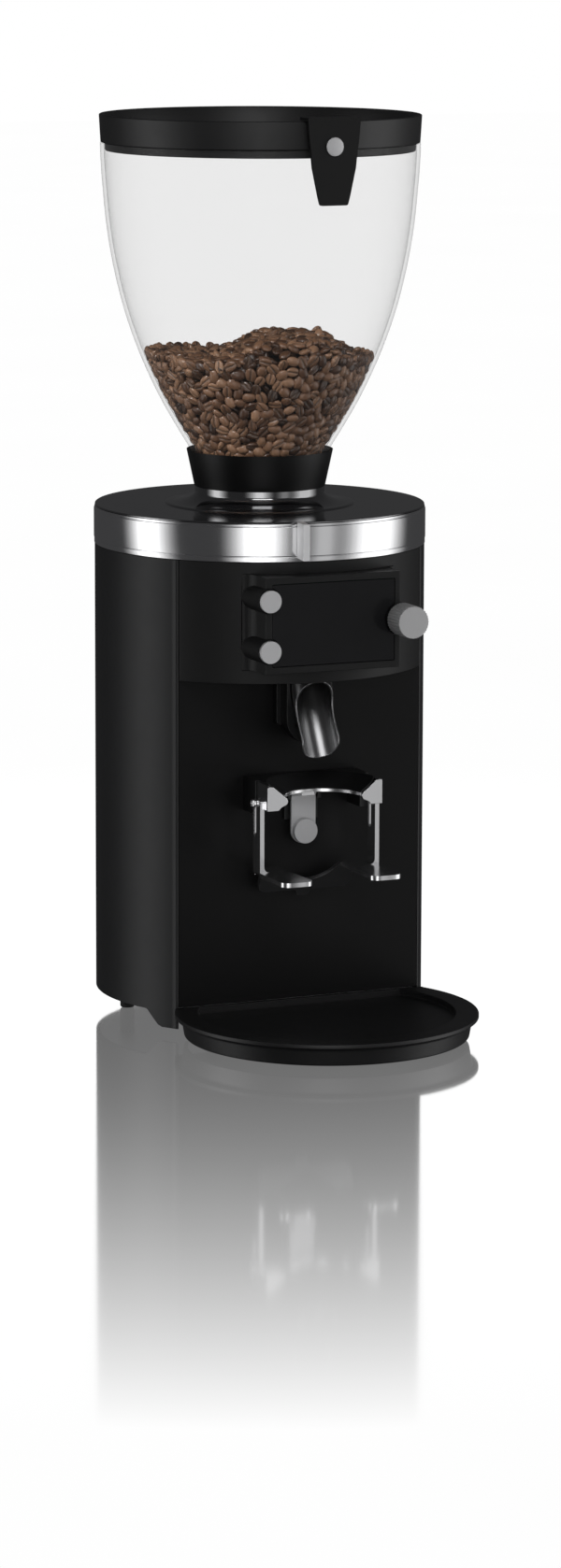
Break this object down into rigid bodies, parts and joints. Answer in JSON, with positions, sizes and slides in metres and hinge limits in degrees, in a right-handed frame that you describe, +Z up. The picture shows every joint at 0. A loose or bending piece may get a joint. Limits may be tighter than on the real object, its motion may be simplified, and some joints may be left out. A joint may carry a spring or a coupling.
{
  "type": "burr coffee grinder",
  "caption": "Upright burr coffee grinder: round body with clear bean hopper, bright setting wheel, angled display, open spout, portafilter holder with fork arms and a round tray.",
  "frame": {"origin": "on the axis of the round body at floor level", "axes": "-Y is the front, +X is to the right seen from the front, +Z is up"},
  "size_m": [0.24, 0.3536, 0.6549],
  "materials": {
    "casing": "satin dark grey paint",
    "panel": "matte black",
    "moulding": "matte black",
    "chrome": "polished",
    "dark_mirror": "dark polished",
    "satin_steel": "satin",
    "clear": "clear plastic",
    "screen": "gloss black",
    "bean": "roasted beans",
    "rubber": "matte",
    "steel": "plain",
    "burr_steel": "ground",
    "cast": "as cast",
    "winding": "laminated core with windings",
    "board": "circuit board"
  },
  "bodies": {
    "body": {"side_casing": "casing", "front_panel": "panel", "head_cover": "moulding", "base_plate": "steel", "top_cap": "dark_mirror", "display_glass": "screen", "display_board": "board", "control_board": "board", "power_inlet": "moulding", "switch_frame": "moulding", "outlet_chute": "moulding", "spout": "chrome", "spout_plate": "moulding", "spout_clamp": "moulding", "holder_block": "moulding", "upper_fork": "chrome", "trigger_bracket": "steel", "trigger_switch": "moulding", "clamp_screw_left": "chrome", "clamp_screw_right": "chrome", "chassis": "steel", "motor_can": "cast", "stator": "winding", "motor_cap": "cast", "bearing_lower": "steel", "bearing_upper": "steel", "burr_chamber": "cast", "foot_1": "rubber", "foot_2": "rubber", "foot_3": "rubber", "foot_4": "rubber", "foot_5": "rubber", "foot_6": "rubber"},
    "setting_wheel": {"setting_ring": "chrome", "setting_pointer": "satin_steel"},
    "upper_burr_unit": {"upper_carrier": "cast", "upper_burr": "burr_steel"},
    "spindle": {"motor_shaft": "steel", "rotor": "cast", "cooling_fan": "moulding", "lower_carrier": "cast", "lower_burr": "burr_steel"},
    "hopper_unit": {"hopper_shell": "clear", "hopper_collar": "moulding", "bean_fill": "bean"},
    "gate_slide": {"gate": "moulding"},
    "lid_unit": {"lid": "moulding", "lid_clip": "moulding", "lid_badge": "satin_steel"},
    "upper_button": {"button_upper": "satin_steel"},
    "lower_button": {"button_lower": "satin_steel"},
    "selector_stem": {"knob_spindle": "steel"},
    "selector_knob": {"knob": "satin_steel"},
    "trigger": {"trigger_lever": "satin_steel", "trigger_disc": "satin_steel"},
    "fork": {"lower_fork": "chrome"},
    "tray_unit": {"tray": "moulding"},
    "rocker": {"power_rocker": "moulding"}
  },
  "joints": [
    {"name": "setting_turn", "type": "hinge", "parent": "body", "child": "setting_wheel", "pos_m": [0, 0, 0.358], "axis": [0, 0, 1], "range_deg": [-30, 150]},
    {"name": "upper_burr_lift", "type": "slide", "parent": "body", "child": "upper_burr_unit", "axis": [0, 0, 1], "range_m": [-0.0002, 0.0008]},
    {"name": "spindle_spin", "type": "hinge", "parent": "body", "child": "spindle", "pos_m": [0, 0, 0.2], "axis": [0, 0, 1], "continuous": true},
    {"name": "hopper_lift", "type": "slide", "parent": "body", "child": "hopper_unit", "axis": [0, 0, 1], "range_m": [0, 0.06]},
    {"name": "gate_pull", "type": "slide", "parent": "hopper_unit", "child": "gate_slide", "axis": [0, 1, 0], "range_m": [0, 0.056]},
    {"name": "lid_lift", "type": "slide", "parent": "hopper_unit", "child": "lid_unit", "axis": [0, 0, 1], "range_m": [0, 0.05]},
    {"name": "upper_button_press", "type": "slide", "parent": "body", "child": "upper_button", "axis": [0, 1, 0], "range_m": [0, 0.0012], "stiffness_N_per_m": 700, "springref_m": -0.001},
    {"name": "lower_button_press", "type": "slide", "parent": "body", "child": "lower_button", "axis": [0, 1, 0], "range_m": [0, 0.0012], "stiffness_N_per_m": 700, "springref_m": -0.001},
    {"name": "selector_press", "type": "slide", "parent": "body", "child": "selector_stem", "axis": [0, 1, 0], "range_m": [0, 0.001], "stiffness_N_per_m": 1500, "springref_m": -0.001},
    {"name": "selector_turn", "type": "hinge", "parent": "selector_stem", "child": "selector_knob", "pos_m": [0.052, -0.143, 0.3017], "axis": [0, 1, 0], "continuous": true},
    {"name": "trigger_swing", "type": "hinge", "parent": "body", "child": "trigger", "pos_m": [0, -0.0794, 0.172], "axis": [1, 0, 0], "range_deg": [0, 4], "stiffness_Nm_per_rad": 0.6, "springref_deg": -2.86},
    {"name": "fork_height", "type": "slide", "parent": "body", "child": "fork", "axis": [0, 0, 1], "range_m": [0, 0.02]},
    {"name": "tray_pull", "type": "slide", "parent": "body", "child": "tray_unit", "axis": [0, -1, 0], "range_m": [0, 0.12]},
    {"name": "rocker_tip", "type": "hinge", "parent": "body", "child": "rocker", "pos_m": [0.021, 0.116, 0.05], "axis": [1, 0, 0], "range_deg": [0, 14]}
  ],
  "couplings": [
    {"joint": "upper_burr_lift", "follows": "setting_turn", "m_per_rad": 0.00024}
  ]
}
